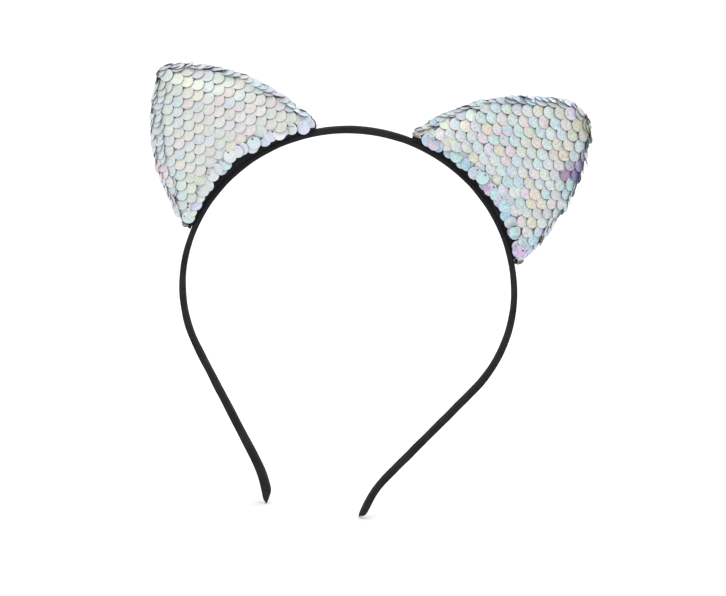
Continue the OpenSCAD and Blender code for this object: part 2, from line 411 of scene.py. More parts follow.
@dataclass(frozen=True)
class NeedleFelt(Finish):
    """Black needle felt: matted fibres about 0.02 mm thick, drawn broader so that they show."""

    name: str = "black_needle_felt"

    def look(self, tree: Tree) -> dict:
        """Bent noise in two sizes gives the fibres and their clumps.

        Args:
            tree: node tree to fill.

        Returns:
            Inputs of the main shader.
        """
        place = object_place(tree)
        fibres, clumps = add_noise(tree, place, 1600.0, 6.0, 1.8), add_noise(tree, place, 260.0, 2.0)
        height = add_math(tree, "ADD", fibres, clumps)
        half = add_math(tree, "MULTIPLY", height, 0.5)
        return {"Base Color": add_ramp(tree, half, [(0.35, "#141416"), (0.7, "#29292b")]), "Roughness": 0.95,
                "Normal": add_bump(tree, height, 0.8, 0.00025), "Specular IOR Level": 0.05}


@dataclass(frozen=True)
class HotGlue(Finish):
    """Set hot-melt glue: cloudy and waxy, with soft lumps and a dull shine."""

    name: str = "cloudy_hot_glue"

    def look(self, tree: Tree) -> dict:
        """Noise clouds the colour and lumps the face."""
        cloud = add_noise(tree, object_place(tree), 500.0, 3.0)
        return {"Base Color": add_ramp(tree, cloud, [(0.3, "#cfc7a6"), (0.7, "#e6e0c8")]), "Roughness": 0.38,
                "Normal": add_bump(tree, cloud, 0.3, 0.0001),
                "Subsurface Weight": 0.3, "Subsurface Radius": (0.001, 0.0009, 0.0007)}


@dataclass(frozen=True)
class PolyesterFill(Finish):
    """Polyester filling, felted into a pad: white crimped fibres with a soft, matt surface."""

    name: str = "polyester_filling"

    def look(self, tree: Tree) -> dict:
        """Bent noise gives the crimped fibres."""
        crimp = add_noise(tree, object_place(tree), 900.0, 5.0, 2.5)
        return {"Base Color": add_ramp(tree, crimp, [(0.3, "#cfcdc6"), (0.65, "#efede6")]), "Roughness": 0.9,
                "Normal": add_bump(tree, crimp, 0.6, 0.0003), "Sheen Weight": 0.2}


@dataclass(frozen=True)
class KnittedNet(Finish):
    """Fine knitted net, drawn grey with dark dots at its holes 0.9 mm apart: painted shade for the dark gaps
    between the sequins.
    """

    name: str = "net_grey_with_painted_shade"
    hole_mm: float = 0.9

    def look(self, tree: Tree) -> dict:
        """Cells on the cloth's own UV give the net's holes, drawn dark as painted shade.

        Args:
            tree: node tree to fill.

        Returns:
            Inputs of the main shader.
        """
        cells = add_node(tree, "ShaderNodeTexVoronoi",
                         {"Vector": cloth_place(tree), "Scale": 1000 / self.hole_mm, "Randomness": 0.25})
        cells = cells.outputs["Distance"]
        # Dark hole dots and the grey mesh are painted shade for the gaps between sequins.
        return {"Base Color": add_ramp(tree, cells, [(0.2, "#3c3e42"), (0.5, "#84888e")]), "Roughness": 0.8,
                "Normal": add_bump(tree, cells, 0.7, 0.0002)}


@dataclass(frozen=True)
class SpunThread(Finish):
    """Spun polyester sewing thread in dark grey: two plies twisted with a 0.5 mm lay."""

    name: str = "grey_spun_thread"
    lay_mm: float = 0.5

    def look(self, tree: Tree) -> dict:
        """A slanting wave on the thread's own UV gives the twist."""
        twist = add_node(tree, "ShaderNodeTexWave", bands_direction="DIAGONAL",
                         inputs={"Vector": cloth_place(tree), "Scale": 314.0 / self.lay_mm}).outputs["Fac"]
        return {"Base Color": add_ramp(tree, twist, [(0.2, "#2c2d31"), (0.8, "#54575d")]), "Roughness": 0.7,
                "Normal": add_bump(tree, twist, 0.5, 0.00008), "Sheen Weight": 0.15}


@dataclass(frozen=True)
class PearlFilm(Finish):
    """Iridescent PET sequin film: a milky pearl core under a clear interference coat.

    Each disc carries its own pale tint, clouds of other pale tints drift across it every 2 mm or so,
    and random specks, partly colour mottle and partly painted sparkle, lighten or darken it. Its punched
    edge is grey, and a painted shadow darkens the rim further on the free side, standing in for the shade
    under each free edge. The clear coat gives a small bright glint at each tilt.
    """

    name: str = "iridescent_pearl_film"
    cloud_mm: float = 1.7
    cloud_share: float = 0.5
    sparkle_speck_mm: float = 0.45
    painted_sparkle_share: float = 0.25
    edge_and_painted_shadow_colour: str = "#1d1f22"

    def look(self, tree: Tree) -> dict:
        """The tint comes from the disc's colour attribute, whose alpha is how much grey edge and painted edge
        shadow it gets.

        Args:
            tree: node tree to fill.

        Returns:
            Inputs of the main shader.
        """
        tint = add_node(tree, "ShaderNodeAttribute", attribute_name="film")
        place = object_place(tree)
        clouds = add_ramp(tree, add_noise(tree, place, 1000 / self.cloud_mm, 3.0, 0.8),
                          [(0.30, "#bfe8f2"), (0.40, "#f6f2e2"), (0.48, "#fbfcfc"),
                           (0.55, "#f3d7e6"), (0.62, "#d2f0dc"), (0.72, "#d2d2f5")])
        body = add_node(tree, "ShaderNodeMix", {0: self.cloud_share, 6: tint.outputs["Color"], 7: clouds},
                        data_type="RGBA", blend_type="MULTIPLY").outputs[2]
        # Edge mix: the grey cut edge plus painted shadow along the free rim and painted shade on the
        # underside.
        edge = add_node(tree, "ShaderNodeMapRange",
                        {"Value": tint.outputs["Alpha"], "From Min": 0.45, "From Max": 1.0}).outputs[0]
        # Random specks: partly the film's own colour mottle, partly painted sparkle (glints).
        sparkle_specks = add_node(tree, "ShaderNodeTexVoronoi", {"Vector": place, "Scale": 1000 / self.sparkle_speck_mm})
        body = add_node(tree, "ShaderNodeMix", {0: self.painted_sparkle_share, 6: body, 7: sparkle_specks.outputs["Color"]},
                        data_type="RGBA", blend_type="SOFT_LIGHT").outputs[2]
        colour = add_node(tree, "ShaderNodeMix", {0: edge, 6: body, 7: linear(self.edge_and_painted_shadow_colour)},
                          data_type="RGBA")
        grain = add_noise(tree, place, 1500.0, 2.0)
        return {"Base Color": colour.outputs[2], "Roughness": add_range(tree, grain, 0.22, 0.4),
                "Normal": add_bump(tree, grain, 0.15, 0.0001), "IOR": 1.57, "Coat Weight": 0.5,
                "Coat Roughness": 0.12, "Thin Film Thickness": 420.0, "Thin Film IOR": 1.38}


@dataclass(frozen=True)
class PaleFloor(Finish):
    """Matt pale card: barely mottled, so that it reads as plain."""

    name: str = "matt_pale_card"

    def look(self, tree: Tree) -> dict:
        """Wide noise mottles the card by one shade."""
        mottle = add_noise(tree, object_place(tree), 2.0, 2.0)
        return {"Base Color": add_ramp(tree, mottle, [(0.3, "#f9f9f9"), (0.7, "#fbfbfb")]), "Roughness": 0.9,
                "Specular IOR Level": 0.1}


# ---------------------------------------------------------------- the band


@dataclass(frozen=True)
class BandPath:
    """The line that the inside of the band follows down one side, from the top to the tip.

    It is an arc about the origin, a tighter arc at the side, a straight leg, an arc that turns
    back outwards and a short straight fold. The outward direction's angle from the top grows with
    the length on each arc and stays the same on each straight, and it is averaged over a short
    length, because bent steel eases from one curve into the next.
    """

    bend_at: float
    head_r: float = 63.5
    knee_r: float = 54.0
    leg_from: float = math.radians(125)
    flare_r: float = 32.2
    tip_from: float = math.radians(107)
    fold_len: float = 8.0
    tip_x: float = 17.7
    ease: float = 10.0

    @staticmethod
    def outward(angle: Array) -> Array:
        """The outward direction in X and Z: the sine and cosine of the angle from the top."""
        return np.stack([np.sin(angle), np.cos(angle)], axis=-1)

    def ends(self) -> Array:
        """Length from the top to the end of each stretch before the fold.

        Returns:
            The lengths along the band.
        """
        knee_x = (self.head_r - self.knee_r) * math.sin(self.bend_at)
        flare_dx = self.flare_r * (math.sin(self.tip_from) - math.sin(self.leg_from))
        fold_dx = -self.fold_len * math.cos(self.tip_from)
        reach = knee_x + self.knee_r * math.sin(self.leg_from) - flare_dx - fold_dx - self.tip_x
        return np.cumsum([self.head_r * self.bend_at, self.knee_r * (self.leg_from - self.bend_at),
                          -reach / math.cos(self.leg_from), self.flare_r * (self.leg_from - self.tip_from)])

    @property
    def tip_at(self) -> float:
        """Length from the top to where the folded end starts."""
        return float(self.ends()[-1])

    def place(self, s: Array) -> tuple[Array, Array]:
        """Finds places along the band by adding up short steps at right angles to the outward direction.

        Args:
            s: Lengths from the top.

        Returns:
            X and Z of each place on the right side, and the angle of its outward direction.
        """
        knots = np.concatenate([[0.0], self.ends()])
        turns = [0.0, self.bend_at, self.leg_from, self.leg_from, self.tip_from]
        at = np.arange(0, knots[-1] + self.fold_len + 0.1, 0.05)
        window = np.linspace(-self.ease / 2, self.ease / 2, 41)[:, None]
        near = at + window
        a = (np.sign(near) * np.interp(np.abs(near), knots, turns)).mean(axis=0)
        step = np.stack([np.cos(a), -np.sin(a)], axis=-1)
        way = np.concatenate([[[0, 0]], np.cumsum((step[1:] + step[:-1]) / 2 * 0.05, axis=0)])
        spot = np.stack([np.interp(s, at, way[:, 0]), self.head_r + np.interp(s, at, way[:, 1])], axis=-1)
        return spot, np.interp(s, at, a)

    def carry(self, side: Side, s: Array, height: Array, across: Array) -> Array:
        """Carries a profile along the band.

        Args:
            side: Side of the band.
            s: Length from the top of each row.
            height: Height out from the inside of the band, for each row and profile point.
            across: Place from front to back, for each row and profile point.

        Returns:
            X, Y and Z for each row and profile point.
        """
        spot, a = self.place(s)
        out = self.outward(a)
        x = spot[:, :1] + height * out[:, :1]
        z = spot[:, 1:] + height * out[:, 1:]
        return np.stack([side.sign * x, np.broadcast_to(across, x.shape), z], axis=-1)

    def point(self, side: Side, s: float) -> tuple[float, float, float]:
        """One point in the middle of the band, in metres, for a joint."""
        x, y, z = self.carry(side, np.array([s]), np.array([[1.1]]), np.array([[0.0]]))[0, 0] * MM
        return float(x), float(y), float(z)


def rounded_box(lo: Array, hi: Array, half: Array, radius: float, count: int) -> tuple[Array, Array]:
    """A profile like a box with round corners, for each row.

    Each corner is a quarter circle, and the points are spread evenly by length around a box of the
    first row's size, so every row has the same number of points in the same order.

    Args:
        lo: Height of the inner face, for each row.
        hi: Height of the outer face, for each row.
        half: Half the width, for each row.
        radius: Corner radius, cut down where the box is thin.
        count: Points around.

    Returns:
        Height and width of each point, for each row.
    """
    lo, hi, half = (np.atleast_1d(np.asarray(v, float)) for v in (lo, hi, half))
    quarter = np.linspace(0, np.pi / 2, 7)
    turn = np.concatenate([quarter + k * np.pi / 2 for k in range(4)])
    corner = np.repeat(np.arange(4), 7)
    up, side = np.array([1, -1, -1, 1])[corner], np.array([1, 1, -1, -1])[corner]
    r = np.minimum(radius, 0.499 * np.minimum(hi - lo, 2 * half))[:, None]
    mid, tall = ((hi + lo) / 2)[:, None], ((hi - lo) / 2)[:, None]
    h = mid + up * (tall - r) + r * np.cos(turn)
    w = side * (half[:, None] - r) + r * np.sin(turn)
    closed_h, closed_w = np.hstack([h, h[:, :1]]), np.hstack([w, w[:, :1]])
    steps = np.hypot(np.diff(closed_h[0]), np.diff(closed_w[0]))
    at = np.concatenate([[0.0], np.cumsum(steps)])
    want = np.linspace(0, at[-1], count, endpoint=False)
    k = np.clip(np.searchsorted(at, want, side="right") - 1, 0, len(steps) - 1)
    share = (want - at[k]) / np.maximum(steps[k], 1e-9)
    return (closed_h[:, k] * (1 - share) + closed_h[:, k + 1] * share,
            closed_w[:, k] * (1 - share) + closed_w[:, k + 1] * share)


def tube(outer: Array, inner: Array, s: Array, open_end: bool, side: Side) -> Skin:
    """A closed wall between an outer and an inner set of rings.

    Args:
        outer: Rings of the outside, as rows of points.
        inner: Rings of the bore, with as many points in each, from the same start.
        s: Place of each outer ring along the cloth.
        open_end: Whether the bore runs out at the end; else both are capped there.
        side: Side of the band, because a mirrored tube is turned over.

    Returns:
        The skin, with the cloth's own places.
    """
    rows, cols = outer.shape[:2]
    deep = inner.shape[0]
    start = rows * cols
    ring = np.arange(cols)
    after = (ring + 1) % cols
    faces = [grid_quads(rows, cols), grid_quads(deep, cols)[:, ::-1] + start,
             np.stack([ring, ring + start, after + start, after], axis=-1)]
    last, bottom = (rows - 1) * cols, start + (deep - 1) * cols
    if open_end:
        faces.append(np.stack([last + ring, last + after, bottom + after, bottom + ring], axis=-1))
    else:
        faces += [(last + ring)[None, :], (bottom + ring[::-1])[None, :]]
    around = np.cumsum(np.linalg.norm(np.diff(outer[0], axis=0, prepend=outer[0][-1:]), axis=1))
    uv_out = np.stack(np.broadcast_arrays(s[:, None], around[None, :]), axis=-1).reshape(-1, 2)
    uv_in = np.stack(np.broadcast_arrays(np.linspace(s[0], s[-1], deep)[:, None], around[None, :]), axis=-1)
    skin = Skin(np.concatenate([outer.reshape(-1, 3), inner.reshape(-1, 3)]), faces,
                np.concatenate([uv_out, uv_in.reshape(-1, 2)]))
    return skin if side is Side.RIGHT else skin.turned()


@dataclass(frozen=True)
class TipShape:
    """How the ribbon thickens towards a tip and how its pinched end is shaped.

    Attributes:
        at: Lengths past the start of the fold, from before it to its very end.
        inner: Height of the inner face at each.
        outer: Height of the outer face at each.
        half: Half the width at each.
    """

    at: tuple[float, ...]
    inner: tuple[float, ...]
    outer: tuple[float, ...]
    half: tuple[float, ...]

    def sizes(self, past: Array) -> tuple[Array, Array, Array]:
        """Inner height, outer height and half width, each drawn straight between its values."""
        return tuple(np.interp(past, self.at, v) for v in (self.inner, self.outer, self.half))


LEFT_TIP = TipShape(
    at=(-55, -25, -11, -6, -2, 1.5, 3.2, 4.4, 4.7, 5.6, 6.6, 7.5, 8.0),
    inner=(0, -0.2, -0.35, -0.5, -0.85, -1.15, -1.2, -0.95, -0.6, -0.25, 0.25, 0.75, 1.05),
    outer=(2.2, 2.4, 2.5, 2.5, 2.4, 2.3, 2.2, 2.2, 2.2, 2.15, 1.95, 1.65, 1.4),
    half=(2.85, 2.85, 2.85, 2.85, 2.9, 2.95, 2.9, 2.75, 2.6, 2.3, 1.7, 1.0, 0.5))
RIGHT_TIP = TipShape(
    at=(-11, -6, -2, 2.0, 4.0, 5.2, 6.2, 6.9, 7.1, 7.6, 8.0),
    inner=(0, 0, -0.05, -0.1, -0.1, -0.08, -0.05, 0.0, 0.02, 0.08, 0.15),
    outer=(2.2, 2.2, 2.3, 2.4, 2.4, 2.3, 2.0, 1.55, 0.95, 0.7, 0.45),
    half=(2.85, 2.85, 2.85, 2.85, 2.8, 2.7, 2.4, 2.0, 1.6, 1.0, 0.5))


@dataclass
class Ribbon:
    """The ribbon wound tight round the steel strip, in four lengths, and its two pinched ends."""

    path: BandPath
    edge_r: float = 0.62
    bore: tuple[float, float, float] = (0.5, 1.7, 2.27)
    overlap: float = 0.12
    around: int = 44
    step: float = 0.7
    half_way: float = math.radians(45)

    def rings(self, side: Side, s: Array) -> Array:
        """The outside of the ribbon.

        The profile is a box with round corners. Its faces wander by a few hundredths of a
        millimetre, and one edge of the cloth laps over the other on the inner face.

        Args:
            side: Side of the band.
            s: Lengths from the top.

        Returns:
            Rings of points.
        """
        tip = LEFT_TIP if side is Side.LEFT else RIGHT_TIP
        inner, outer, half = tip.sizes(s - self.path.tip_at)
        seed = 11 if side is Side.LEFT else 23
        ease = smooth(s / 12)
        inner = inner - 0.03 * ease * ripple(s, 22, seed)
        outer = outer + 0.03 * ease * ripple(s, 20, seed + 1) + 0.25 * (1 - smooth((s - 8) / 30))
        h, w = rounded_box(inner, outer, half, self.edge_r, self.around)
        bow = 0.10 * ease * ripple(s, 16, seed + 2)
        lap = self.overlap * smooth((w - 0.3) / 0.25) * (h < (inner + 0.35)[:, None])
        return self.path.carry(side, s, h - lap, w + bow[:, None])

    def bores(self, side: Side, s: Array) -> Array:
        """The bore that holds the strip: the same kind of box, a hair larger than the strip.

        Args:
            side: side of the band.
            s: lengths along the band.

        Returns:
            One ring of points for each length.
        """
        lo, hi, half = (np.full(len(s), v) for v in self.bore)
        h, w = rounded_box(lo, hi, half, 0.1, self.around)
        return self.path.carry(side, s, h, w)

    def length(self, name: str, side: Side, start: float, end: float) -> bpy.types.Object:
        """Makes one length of ribbon from start to end along the band.

        Args:
            name: name of the piece.
            side: side of the band.
            start: where it begins along the band.
            end: where it ends.

        Returns:
            The ribbon's object.
        """
        s = np.linspace(start, end, max(2, round((end - start) / self.step)))
        skin = tube(self.rings(side, s), self.bores(side, s), s, True, side)
        return skin.piece(name, WovenRibbon().make())

    def pinched_end(self, side: Side) -> bpy.types.Object:
        """Makes the folded and pinched end of the ribbon over the end of the strip.

        Args:
            side: side of the band.

        Returns:
            The folded end's object.
        """
        start = self.path.tip_at
        s = start + self.path.fold_len * np.linspace(0, 1, 34)
        deep = start + np.linspace(0, 4.4, 8)
        rings = self.rings(side, s)
        folds = 0.14 * smooth((s - start) / 2) * np.sin((s - start) * 2.1)
        rings[..., 1] *= (1 + 0.12 * folds)[:, None]
        skin = tube(rings, self.bores(side, deep), s, False, side)
        return skin.piece(f"{side.value}_pinched_ribbon_end", WovenRibbon().make())

    def build(self) -> None:
        """Makes every length and fixes each pinched end to its leg; the crown and leg lengths stay where they
        are made.
        """
        path = self.path
        crown_at = math.atan2(*(abs(v) for v in joint_place("right_spread")))
        middle = self.half_way * path.head_r
        for side in Side:
            word = side.value
            upper = self.length(f"{word}_crown_ribbon_wrap", side, 0.0, middle)
            turn = crown_at * path.head_r
            near, far = path.point(side, turn - BEND_HALF), path.point(side, turn + BEND_HALF)
            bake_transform(upper)
            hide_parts("crown_ribbon")
            lower = self.length(f"{word}_leg_ribbon_wrap", side, middle, path.tip_at)
            turn = path.bend_at * path.head_r
            near, far = path.point(side, turn - BEND_HALF), path.point(side, turn + BEND_HALF)
            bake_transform(lower)
            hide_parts(f"{word}_shoulder_ribbon", f"{word}_leg_ribbon")
            end = self.pinched_end(side)
            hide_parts(f"{word}_end_fold")
            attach(end, f"{word}_leg")
            log.info("%s ribbon: %s, %s, %s", word, upper.name, lower.name, end.name)


def joint_place(name: str) -> tuple[float, float]:
    """X and Z of a joint's place, in metres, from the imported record."""
    joint = next(j for j in frame["record"]["behaviour"]["joints"] if j["name"] == name)
    return joint["pos_m"][0], joint["pos_m"][2]


@dataclass
class SteelStrip:
    """The spring steel strip inside the ribbon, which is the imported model's own five lengths."""

    nodes: tuple[str, ...] = ("crown_core", "left_shoulder_core", "left_leg_core", "right_shoulder_core",
                              "right_leg_core")

    def dress(self) -> None:
        """Gives each length of strip its rolled steel."""
        steel = SpringSteel().make()
        for node in self.nodes:
            obj = frame["nodes"][node]
            obj.data.materials.clear()
            obj.data.materials.append(steel)
            log.info("steel on %s", node)


# ---------------------------------------------------------------- the ears


@dataclass(frozen=True)
class Tint:
    """A stain of colour on the sequins near one place on an ear.

    Attributes:
        x: Place across the ear.
        z: Place above the padding's centre.
        reach: How far it spreads.
        colour: Its sRGB hex colour.
        strength: Its share at the middle.
    """

    x: float
    z: float
    reach: float
    colour: str
    strength: float = 0.6


@dataclass(frozen=True)
class Disc:
    """One sequin: a thin disc, cupped so that its face falls with the square of the distance out.

    Its first direction points to the free edge, and the last is up. Every shape comes as points,
    faces and how much each point is darkened: the grey cut edge, with painted shadow that is strongest at the
    free edge.
    """

    radius: float = 2.65
    hole_r: float = 0.42
    hole_at: float = -1.7
    thick: float = 0.09
    cup: float = 0.10

    def raised(self, flat: Array, top: Array) -> Array:
        """Adds the height to flat places, on the face or on the underside."""
        up = -self.cup * (flat**2).sum(-1) / self.radius**2 + np.where(top, self.thick / 2, -self.thick / 2)
        return np.concatenate([flat, up[..., None]], axis=-1)

    def plain(self, around: int = 16) -> tuple[Array, list[Array], Array]:
        """A disc whose hole is out of sight: a fan, a rim band, the cut edge and a flat underside.

        Args:
            around: points round the rim.

        Returns:
            Points, faces and how much each point is darkened by edge grey and painted shade.
        """
        turn = 2 * np.pi * np.arange(around) / around
        circle = self.radius * np.stack([np.cos(turn), np.sin(turn)], axis=-1)
        flat = np.concatenate([[[0, 0]], 0.87 * circle, circle, circle])
        points = self.raised(flat, np.arange(len(flat)) <= 2 * around)
        ring = 1 + np.arange(around)
        after = 1 + (ring % around)
        fan = np.stack([np.zeros(around, int), ring, after], axis=-1)
        bands = grid_quads(3, around)[:, ::-1] + 1
        # The rim darkens towards the free edge as painted shadow, and the underside ring gets painted shade.
        free = 0.4 + 0.6 * np.clip(np.cos(turn) + 0.25, 0, 1)
        edge = np.concatenate([np.zeros(1 + around), free, np.full(around, 0.7)])
        return points, [fan, bands, (2 * around + ring[::-1])[None]], edge

    def punched(self, around: int = 12) -> tuple[Array, list[Array], Array]:
        """A disc whose hole shows: lines drawn straight from the hole's circle to the rim's.

        Args:
            around: points round the rim.

        Returns:
            Points, faces and how near the edge each point is.
        """
        turn = 2 * np.pi * np.arange(around) / around
        circle = np.stack([np.cos(turn), np.sin(turn)], axis=-1)
        hole = circle * self.hole_r + [self.hole_at, 0]
        shares = np.array([0.0, 0.88, 1.0, 1.0, 0.0])
        flat = hole + shares[:, None, None] * (circle * self.radius - hole)
        points = self.raised(flat, np.broadcast_to(np.arange(5)[:, None] < 3, (5, around))).reshape(-1, 3)
        ring = np.arange(around)
        after = (ring + 1) % around
        wall = np.stack([4 * around + ring, 4 * around + after, after, ring], axis=-1)
        edge = np.repeat([0.3, 0.0, 0.75, 0.75, 0.2], around)
        return points, [np.vstack([grid_quads(5, around), wall])[:, ::-1]], edge


@dataclass
class Ear:
    """One padded ear: padding, two nets, their sequins, the seam's thread, felt and glue.

    In the ear's own directions x runs along its base towards the leg, z points away from the
    middle of the head and y points back.
    """

    side: Side
    at_deg: float
    width: float
    height: float
    tip_r: float
    lean: float
    pitch: float
    row_gap: float
    row_turn: float
    disorder: float
    seam_share: float
    puff: float
    seed: int
    tints: tuple[str, ...]
    stains: tuple[Tint, ...]
    hem: tuple[str, ...]
    film: PearlFilm
    cover: float = 1.3
    seat_r: float = 67.3
    band_outer_r: float = 65.7
    drop: float = 8.0
    half_thick: float = 7.5
    base_half: float = 3.8
    cols: int = 112
    rings: int = 18

    def __post_init__(self) -> None:
        """Works out the padding's base radius and the centre that its rings close on."""
        self.base_r = self.seat_r + self.cover + 0.06
        self.centre_z = self.base_r + 16

    # -- shape of the padding

    def outline(self) -> Array:
        """The padding's outline in x and z.

        Each side is one arc that stands upright at the widest place and meets the point's arc
        smoothly, and the base is an arc about the middle of the head. The points are then spread
        evenly by length, from the leg-side corner up over the point and back along the base.

        Returns:
            One row for each column of the padding.
        """
        half, top = self.width / 2 - self.cover, self.band_outer_r + self.height - self.tip_r
        wide_z, r = self.band_outer_r - self.drop, self.tip_r - self.cover
        rise = top - wide_z
        side_r = (half**2 + rise**2 - r**2) / (2 * (half - r))
        cx = half - side_r
        d = math.hypot(cx, wide_z)
        along = (self.base_r**2 - side_r**2 + d**2) / (2 * d)
        across = math.sqrt(self.base_r**2 - along**2)
        corner = np.array([along * cx + across * wide_z, along * wide_z - across * cx]) / d
        start, end = math.atan2(corner[1] - wide_z, corner[0] - cx), math.atan2(rise, -cx)
        turn = np.linspace(start, end, 60)
        up = np.stack([cx + side_r * np.cos(turn), wide_z + side_r * np.sin(turn)], axis=-1)
        turn = np.linspace(end, np.pi - end, 24)[1:-1]
        over = np.stack([r * np.cos(turn), top + r * np.sin(turn)], axis=-1)
        corner_turn = math.atan2(corner[1], corner[0])
        turn = np.linspace(np.pi - corner_turn, corner_turn, 60)[1:-1]
        base = self.base_r * np.stack([np.cos(turn), np.sin(turn)], axis=-1)
        line = np.concatenate([up, over, up[::-1] * [-1, 1], base, up[:1]])
        at = np.concatenate([[0.0], np.cumsum(np.linalg.norm(np.diff(line, axis=0), axis=1))])
        want = np.linspace(0, at[-1], self.cols, endpoint=False)
        line = np.stack([np.interp(want, at, line[:, i]) for i in range(2)], axis=-1)
        line[:, 0] += self.lean * np.clip((line[:, 1] - self.base_r) / self.height, 0, None) ** 1.6
        return line

    def edge_half(self, line: Array) -> Array:
        """Half the padding's thickness at its edge: thin at the sides, swelling along the base.

        Args:
            line: columns to measure at.

        Returns:
            Half thickness at each column.
        """
        low = smooth((self.base_r + 1.0 - np.hypot(line[:, 0], line[:, 1])) / 1.0 + 0.4)
        share = np.clip(1 - (line[:, 0] / (self.width / 2)) ** 2, 0, 1)
        return 0.7 + (self.base_half - 0.7) * low * share

    def grid(self) -> Array:
        """The padding's surface from the front's middle over the edge to the back's middle.

        On each face the distance from the centre is the outline's times the sine of an angle to
        the power of 0.83, and the height is the cosine of that angle.

        Returns:
            X, Y and Z by column and row; the first and last rows are the two middles.
        """
        line = self.outline()
        edge = self.edge_half(line)[:, None]
        turn = np.linspace(0, np.pi / 2, self.rings + 1)
        ring = np.sin(turn) ** (2 / 2.4)
        centre = np.array([0.0, self.centre_z])
        flat = centre + ring[None, :, None] * (line - centre)[:, None, :]
        front = -(edge + (self.half_thick * self.puff - edge) * np.cos(turn) ** 0.95)
        face = np.stack([flat[..., 0], front, flat[..., 1]], axis=-1)
        rim = np.stack([line[:, 0], np.zeros(self.cols), line[:, 1]], axis=-1)[:, None, :]
        back = face[:, ::-1] * [1, -1, 1]
        return np.concatenate([face, rim, back], axis=1)

    def padding_skin(self, grid: Array, scale: float = 1.0) -> Skin:
        """A closed skin over the grid, with one point at each middle.

        Args:
            grid: the surface's rings.
            scale: factor on the distances from the middle.

        Returns:
            The closed skin.
        """
        rows = grid.shape[1]
        body = grid[:, 1:-1].transpose(1, 0, 2).reshape(-1, 3)
        points = np.concatenate([body, grid[:1, 0], grid[:1, -1]]) * scale
        quads = grid_quads(rows - 2, self.cols)
        ring = np.arange(self.cols)
        after = (ring + 1) % self.cols
        front, back = len(body), len(body) + 1
        last = (rows - 3) * self.cols
        return Skin(points, [quads[:, ::-1], np.stack([ring, after, np.full(self.cols, front)], axis=-1),
                             np.stack([last + after, last + ring, np.full(self.cols, back)], axis=-1)])

    def stuff(self, grid: Array) -> Array:
        """Fills the padding by cloth simulation with air pressure inside it.

        The cloth is ten times life size, which the solver handles better. Its edge along the base
        is held, no point may move by more than the cap, and only the finished shape is kept.

        Args:
            grid: The slack padding's surface.

        Returns:
            The filled surface, in the same layout.
        """
        scale, cap, steps = 10.0, 2.2, 20
        obj = self.padding_skin(grid, scale).piece("stuffing_cloth", PolyesterFill().make())
        points = np.array([v.co for v in obj.data.vertices])
        base = np.tile(self.edge_half(self.outline()) > 1.2, grid.shape[1] - 2)
        rim = np.abs(np.repeat(np.arange(grid.shape[1] - 2), self.cols) - self.rings) <= 2
        held = obj.vertex_groups.new(name="held")
        held.add(np.flatnonzero(base & rim).tolist(), 1.0, "REPLACE")
        cloth = obj.modifiers.new("fill", "CLOTH")
        cloth.settings.quality = 6
        cloth.settings.mass = 0.2
        cloth.settings.tension_stiffness = 25
        cloth.settings.compression_stiffness = 12
        cloth.settings.bending_stiffness = 0.4
        cloth.settings.use_pressure = True
        cloth.settings.uniform_pressure_force = 0.8
        cloth.settings.effector_weights.gravity = 0.0
        cloth.settings.vertex_group_mass = "held"
        for step in range(steps):
            bpy.context.scene.frame_set(step + 1)
        shown = obj.evaluated_get(bpy.context.evaluated_depsgraph_get())
        moved = np.array([v.co for v in shown.data.vertices])
        bpy.context.scene.frame_set(1)
        bpy.data.objects.remove(obj, do_unlink=True)
        shift = (moved - points) / (scale * MM)
        far = np.linalg.norm(shift, axis=1, keepdims=True)
        shift *= np.minimum(1.0, cap / np.maximum(far, 1e-9))
        log.info("%s padding filled, largest move %.2f mm", self.side.value, float(far.max()))
        rows = grid.shape[1] - 2
        body = shift[: rows * self.cols].reshape(rows, self.cols, 3).transpose(1, 0, 2)
        filled = grid.copy()
        filled[:, 1:-1] += body
        filled[:, 0] += shift[-2]
        filled[:, -1] += shift[-1]
        return filled

    # -- places on the filled surface

    def settle(self, grid: Array) -> None:
        """Keeps the filled surface with its outward directions and its lengths from each middle.

        Args:
            grid: the filled surface's rings.
        """
        self.surface = np.concatenate([grid, grid[:1]], axis=0)
        across = np.roll(grid, -1, axis=0) - np.roll(grid, 1, axis=0)
        down = np.gradient(grid, axis=1)
        normal = unit(np.cross(across, down))
        heart = np.array([0.0, 0.0, self.centre_z])
        normal *= np.sign(((grid - heart) * normal).sum(-1).mean())
        normal[:, 0], normal[:, -1] = [0, -1, 0], [0, 1, 0]
        self.normals = np.concatenate([normal, normal[:1]], axis=0)
        steps = np.linalg.norm(np.diff(self.surface, axis=1), axis=-1)
        self.front_len = np.concatenate([np.zeros((self.cols + 1, 1)), np.cumsum(steps, axis=1)], axis=1)
        self.back_len = self.front_len[:, -1:] - self.front_len
        line = self.outline() - [0.0, self.centre_z]
        turns = np.unwrap(np.arctan2(line[:, 1], line[:, 0]))
        self.turns = np.concatenate([turns, [turns[0] + 2 * np.pi]])

    def seam_row(self, col: Array) -> Array:
        """The row where the two nets meet: the edge's middle, or a little in front on the outer side.

        Args:
            col: columns to look at.

        Returns:
            The seam's row at each column.
        """
        share = self.seam_profile()
        rows = (self.rings + 1) - share * (1 - self.seam_share) * self.rings
        return np.interp(col, np.arange(self.cols + 1), np.append(rows, rows[0]))

    def seam_profile(self) -> Array:
        """How much of the seam's forward shift each column takes: all of it up the outer side.

        Returns:
            A share from 0 to 1 for each column.
        """
        line = self.outline()
        high = (line[:, 1] - self.base_r) / self.height
        outer = smooth(line[:, 0] / 8.0 + 0.3)
        return outer * smooth((high + 0.02) / 0.15) * smooth((1.0 - high) / 0.12)

